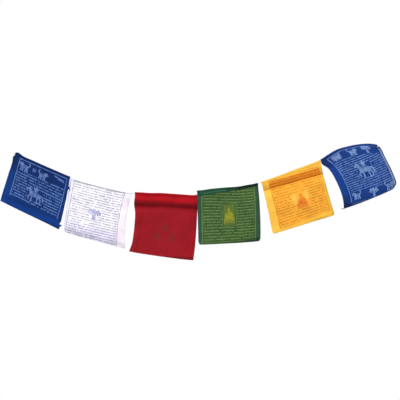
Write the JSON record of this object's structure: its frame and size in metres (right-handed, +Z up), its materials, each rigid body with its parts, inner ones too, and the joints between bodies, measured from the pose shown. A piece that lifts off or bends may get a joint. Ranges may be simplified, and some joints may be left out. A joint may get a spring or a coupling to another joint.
{
  "type": "tibetan prayer flag string",
  "caption": "String of printed cotton prayer flags in blue, white, red, green and yellow, each hemmed over one cord that hangs in a shallow curve between two tied ends.",
  "frame": {"origin": "the left end of the cord, where the string is tied up", "axes": "+X along the string to its right end, +Z up, the printed sides face -Y"},
  "size_m": [1.1508, 0.0223, 0.3389],
  "materials": {
    "cord_cotton": "twisted undyed cotton cord",
    "cotton_blue_left": "plain-woven cotton, dark blue, block-printed in pale blue",
    "cotton_white": "plain-woven cotton, white, block-printed in grey and lilac",
    "cotton_red": "plain-woven cotton, red, with the print showing faintly",
    "cotton_green": "plain-woven cotton, green, block-printed in pale green and olive",
    "cotton_yellow": "plain-woven cotton, golden yellow, block-printed in orange",
    "cotton_blue_right": "plain-woven cotton, mid blue, block-printed in pale blue"
  },
  "bodies": {
    "root": {"cord": "cord_cotton", "flag_blue_left": "cotton_blue_left", "flag_white": "cotton_white", "flag_red": "cotton_red", "flag_green": "cotton_green", "flag_yellow": "cotton_yellow", "flag_blue_right": "cotton_blue_right"}
  },
  "joints": []
}
